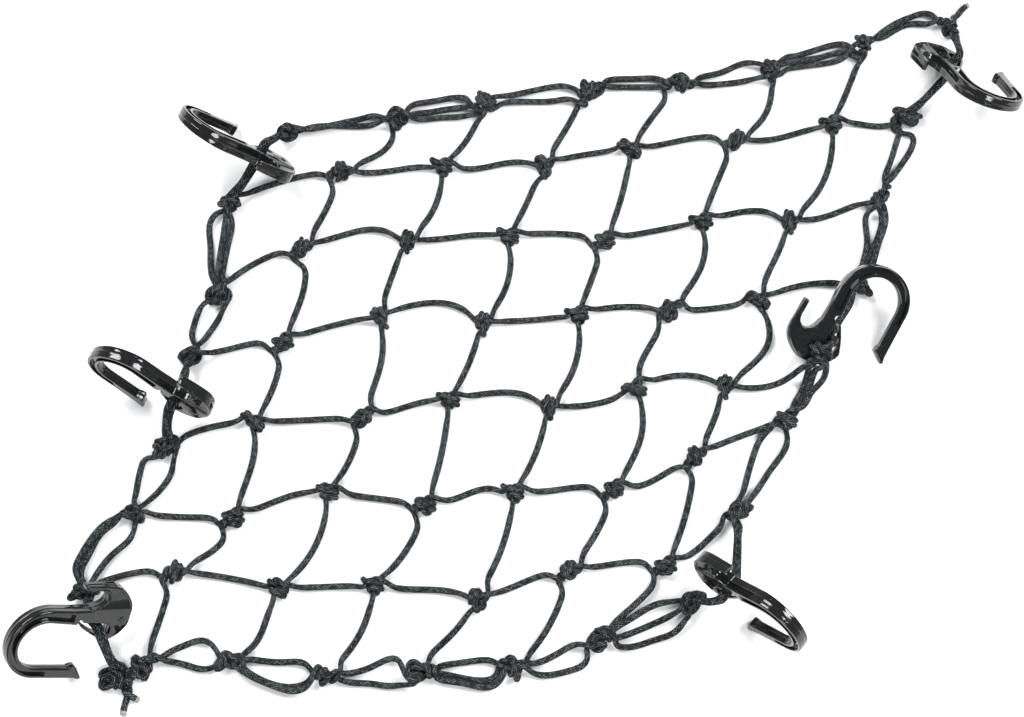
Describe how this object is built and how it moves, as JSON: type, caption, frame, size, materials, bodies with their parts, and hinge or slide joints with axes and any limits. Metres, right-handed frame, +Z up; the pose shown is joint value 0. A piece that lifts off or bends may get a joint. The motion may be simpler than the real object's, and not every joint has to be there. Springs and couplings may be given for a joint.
{
  "type": "elastic cargo net",
  "caption": "Square mesh of knotted elastic cord with a doubled edge rope, laid out slack, and open plastic hooks threaded on the rope for holding a load down on a rack.",
  "frame": {"origin": "under the middle of the whole net, on the surface that it lies on", "axes": "+X to the right along the longer side of the laid out net, +Y away from the viewer, +Z up from the surface"},
  "size_m": [0.5584, 0.4194, 0.0551],
  "materials": {
    "row_braid": "dull black braided sleeve over an elastic core",
    "column_braid": "dull black braided sleeve over an elastic core",
    "rope_braid": "dull black braided sleeve over an elastic core",
    "hook_plastic": "glossy black moulded plastic"
  },
  "bodies": {
    "root": {"row_cord_1": "row_braid", "row_cord_2": "row_braid", "row_cord_3": "row_braid", "row_cord_4": "row_braid", "row_cord_5": "row_braid", "row_cord_6": "row_braid", "column_cord_1_far": "column_braid", "column_cord_1_near": "column_braid", "column_cord_2_far": "column_braid", "column_cord_2_near": "column_braid", "column_cord_3_far": "column_braid", "column_cord_3_near": "column_braid", "column_cord_4_far": "column_braid", "column_cord_4_near": "column_braid", "column_cord_5_far": "column_braid", "column_cord_5_near": "column_braid", "column_cord_6_far": "column_braid", "column_cord_6_near": "column_braid", "edge_rope": "rope_braid", "hook_1": "hook_plastic", "hook_2": "hook_plastic", "hook_3": "hook_plastic", "hook_4": "hook_plastic", "hook_5": "hook_plastic", "hook_6": "hook_plastic"}
  },
  "joints": []
}
